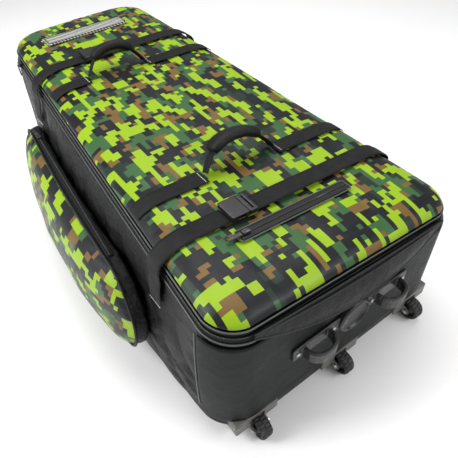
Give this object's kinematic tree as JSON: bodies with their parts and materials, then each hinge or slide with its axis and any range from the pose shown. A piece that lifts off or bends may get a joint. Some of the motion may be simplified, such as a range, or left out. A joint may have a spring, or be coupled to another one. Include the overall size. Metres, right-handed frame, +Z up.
{
  "type": "rolling duffel bag",
  "caption": "Wheeled soft duffel bag: padded tub with a zipped hinged lid, strap buckles, carrying handles, side pocket and a wheeled end.",
  "frame": {"origin": "on the floor under the middle of the whole bag", "axes": "+Y towards the hinge end of the lid, away from the wheels; +Z up, out of the lid; side pocket at -X"},
  "size_m": [0.6702, 1.1503, 0.4471],
  "materials": {
    "camo_fabric": "coated camouflage-print polyester, slight sheen",
    "black_fabric": "black woven polyester with a satin sheen",
    "panel_fabric": "stiff charcoal ballistic weave",
    "webbing": "ribbed polyester webbing",
    "piping": "thin grey reflective piping",
    "zip_tape": "zip tape with a moulded coil",
    "zip_metal": "dark grey enamelled zinc",
    "buckle_plastic": "satin black acetal",
    "handle_plastic": "moulded dark grey, fine grain",
    "guard_plastic": "moulded warm grey, fine grain",
    "tyre_rubber": "dark grey moulded rubber, blocked tread",
    "hub_plastic": "moulded black",
    "steel": "plated steel",
    "label": "plain pale woven patch",
    "board": "ribbed polypropylene board"
  },
  "bodies": {
    "tub": {"tub_shell": "black_fabric", "base_board": "board", "end_panel": "panel_fabric", "skid_rail_left": "handle_plastic", "skid_rail_right": "handle_plastic", "tub_piping": "piping", "zip_tape_lower": "zip_tape", "wheel_guard_left": "guard_plastic", "wheel_guard_middle": "guard_plastic", "wheel_guard_right": "guard_plastic", "axle_left": "steel", "axle_middle": "steel", "axle_right": "steel", "grab_handle": "handle_plastic", "handle_screw_1": "steel", "handle_screw_2": "steel", "handle_screw_3": "steel", "handle_screw_4": "steel", "side_pocket": "camo_fabric", "pocket_zip": "zip_tape"},
    "lid": {"lid_shell": "camo_fabric", "lid_piping": "piping", "zip_tape_upper": "zip_tape", "hinge_strip": "black_fabric", "storm_flap": "panel_fabric", "label_patch": "label", "lid_pocket_zip": "zip_tape", "near_handle_band_left": "webbing", "near_handle_band_right": "webbing", "far_handle_band_left": "webbing", "far_handle_band_right": "webbing"},
    "wheel_left": {"tyre_left": "tyre_rubber", "hub_left": "hub_plastic"},
    "wheel_middle": {"tyre_middle": "tyre_rubber", "hub_middle": "hub_plastic"},
    "wheel_right": {"tyre_right": "tyre_rubber", "hub_right": "hub_plastic"},
    "near_strap_left": {"near_strap_left": "webbing"},
    "near_buckle_female": {"near_buckle_female": "buckle_plastic"},
    "near_strap_right_lower": {"near_strap_right_lower": "webbing"},
    "near_strap_right_upper": {"near_strap_right_upper": "webbing"},
    "near_buckle_male": {"near_buckle_male": "buckle_plastic"},
    "near_handle": {"near_handle_loop": "webbing", "near_handle_grip": "black_fabric"},
    "far_strap_left": {"far_strap_left": "webbing"},
    "far_buckle_female": {"far_buckle_female": "buckle_plastic"},
    "far_strap_right_lower": {"far_strap_right_lower": "webbing"},
    "far_strap_right_upper": {"far_strap_right_upper": "webbing"},
    "far_buckle_male": {"far_buckle_male": "buckle_plastic"},
    "far_handle": {"far_handle_loop": "webbing", "far_handle_grip": "black_fabric"},
    "main_zip_slider": {"main_zip_slider": "zip_metal"},
    "main_zip_pull": {"main_zip_pull": "zip_metal"},
    "lid_zip_slider": {"lid_zip_slider": "zip_metal"},
    "lid_zip_pull": {"lid_zip_pull": "zip_metal"},
    "pocket_zip_slider": {"pocket_zip_slider": "zip_metal"},
    "pocket_zip_pull": {"pocket_zip_pull": "zip_metal"}
  },
  "joints": [
    {"name": "lid_hinge", "type": "hinge", "parent": "tub", "child": "lid", "pos_m": [0.03489, 0.5664, 0.3515], "axis": [-1, 0, 0], "range_deg": [0, 90]},
    {"name": "wheel_left_spin", "type": "hinge", "parent": "tub", "child": "wheel_left", "pos_m": [-0.18011, -0.5451, 0.026], "axis": [1, 0, 0], "continuous": true},
    {"name": "wheel_middle_spin", "type": "hinge", "parent": "tub", "child": "wheel_middle", "pos_m": [0.03489, -0.5451, 0.026], "axis": [1, 0, 0], "continuous": true},
    {"name": "wheel_right_spin", "type": "hinge", "parent": "tub", "child": "wheel_right", "pos_m": [0.24989, -0.5451, 0.026], "axis": [1, 0, 0], "continuous": true},
    {"name": "near_strap_left_swing", "type": "hinge", "parent": "tub", "child": "near_strap_left", "pos_m": [-0.2476, -0.3451, 0.26645], "axis": [0, -1, 0], "range_deg": [0, 160], "deforming": ["near_strap_left"]},
    {"name": "near_buckle_left_fold", "type": "hinge", "parent": "near_strap_left", "child": "near_buckle_female", "pos_m": [-0.23491, -0.3451, 0.35305], "axis": [0, -1, 0], "range_deg": [0, 95]},
    {"name": "near_strap_right_swing", "type": "hinge", "parent": "tub", "child": "near_strap_right_lower", "pos_m": [0.31936, -0.3451, 0.21951], "axis": [0, 1, 0], "range_deg": [0, 102], "deforming": ["near_strap_right_lower"]},
    {"name": "near_strap_right_fold", "type": "hinge", "parent": "near_strap_right_lower", "child": "near_strap_right_upper", "pos_m": [0.30469, -0.3451, 0.30611], "axis": [0, 1, 0], "range_deg": [0, 64], "deforming": ["near_strap_right_upper"]},
    {"name": "near_buckle_release", "type": "slide", "parent": "near_strap_right_upper", "child": "near_buckle_male", "axis": [0.9961, 0, -0.0883], "range_m": [0, 0.03], "deforming": ["near_strap_right_upper"]},
    {"name": "far_strap_left_swing", "type": "hinge", "parent": "tub", "child": "far_strap_left", "pos_m": [-0.19956, 0.2999, 0.27898], "axis": [0, -1, 0], "range_deg": [0, 125], "deforming": ["far_strap_left"]},
    {"name": "far_buckle_left_fold", "type": "hinge", "parent": "far_strap_left", "child": "far_buckle_female", "pos_m": [-0.18331, 0.2999, 0.36558], "axis": [0, -1, 0], "range_deg": [0, 115]},
    {"name": "far_strap_right_swing", "type": "hinge", "parent": "tub", "child": "far_strap_right_lower", "pos_m": [0.26983, 0.2999, 0.26797], "axis": [0, 1, 0], "range_deg": [0, 160], "deforming": ["far_strap_right_lower"]},
    {"name": "far_strap_right_fold", "type": "hinge", "parent": "far_strap_right_lower", "child": "far_strap_right_upper", "pos_m": [0.25309, 0.2999, 0.35457], "axis": [0, 1, 0], "range_deg": [0, 95], "deforming": ["far_strap_right_upper"]},
    {"name": "far_buckle_release", "type": "slide", "parent": "far_strap_right_upper", "child": "far_buckle_male", "axis": [0.9997, 0, -0.0258], "range_m": [0, 0.03], "deforming": ["far_strap_right_upper"]},
    {"name": "near_handle_swing", "type": "hinge", "parent": "lid", "child": "near_handle", "pos_m": [0.01789, -0.2401, 0.37289], "axis": [1, 0, 0], "range_deg": [-40, 85], "deforming": ["near_handle_loop"]},
    {"name": "far_handle_swing", "type": "hinge", "parent": "lid", "child": "far_handle", "pos_m": [-0.00911, 0.1999, 0.39004], "axis": [1, 0, 0], "range_deg": [-40, 85], "deforming": ["far_handle_loop"]},
    {"name": "main_zip_run", "type": "slide", "parent": "tub", "child": "main_zip_slider", "axis": [-0.0797, -0.9965, -0.0264], "range_m": [0, 0.1]},
    {"name": "main_pull_swing", "type": "hinge", "parent": "main_zip_slider", "child": "main_zip_pull", "pos_m": [-0.17472, 0.4579, 0.35537], "axis": [0, -1, 0], "range_deg": [-90, 0]},
    {"name": "lid_zip_run", "type": "slide", "parent": "lid", "child": "lid_zip_slider", "axis": [0.9956, 0, -0.0933], "range_m": [0, 0.205]},
    {"name": "lid_pull_swing", "type": "hinge", "parent": "lid_zip_slider", "child": "lid_zip_pull", "pos_m": [-0.10021, -0.3971, 0.37408], "axis": [0, 1, 0], "range_deg": [0, 85]},
    {"name": "pocket_zip_run", "type": "slide", "parent": "tub", "child": "pocket_zip_slider", "axis": [-0.0793, -0.9968, 0], "range_m": [0, 0.4]},
    {"name": "pocket_pull_swing", "type": "hinge", "parent": "pocket_zip_slider", "child": "pocket_zip_pull", "pos_m": [-0.22672, 0.26206, 0.2666], "axis": [1, 0, 0], "range_deg": [0, 85]}
  ],
  "couplings": [
    {"joint": "near_strap_left_swing", "follows": "lid_hinge", "ratio": 1.7778},
    {"joint": "near_buckle_left_fold", "follows": "lid_hinge", "ratio": 1.0556},
    {"joint": "near_strap_right_swing", "follows": "lid_hinge", "ratio": 1.1333},
    {"joint": "near_strap_right_fold", "follows": "lid_hinge", "ratio": 0.71111},
    {"joint": "far_strap_left_swing", "follows": "lid_hinge", "ratio": 1.3889},
    {"joint": "far_buckle_left_fold", "follows": "lid_hinge", "ratio": 1.2778},
    {"joint": "far_strap_right_swing", "follows": "lid_hinge", "ratio": 1.7778},
    {"joint": "far_strap_right_fold", "follows": "lid_hinge", "ratio": 1.0556}
  ]
}
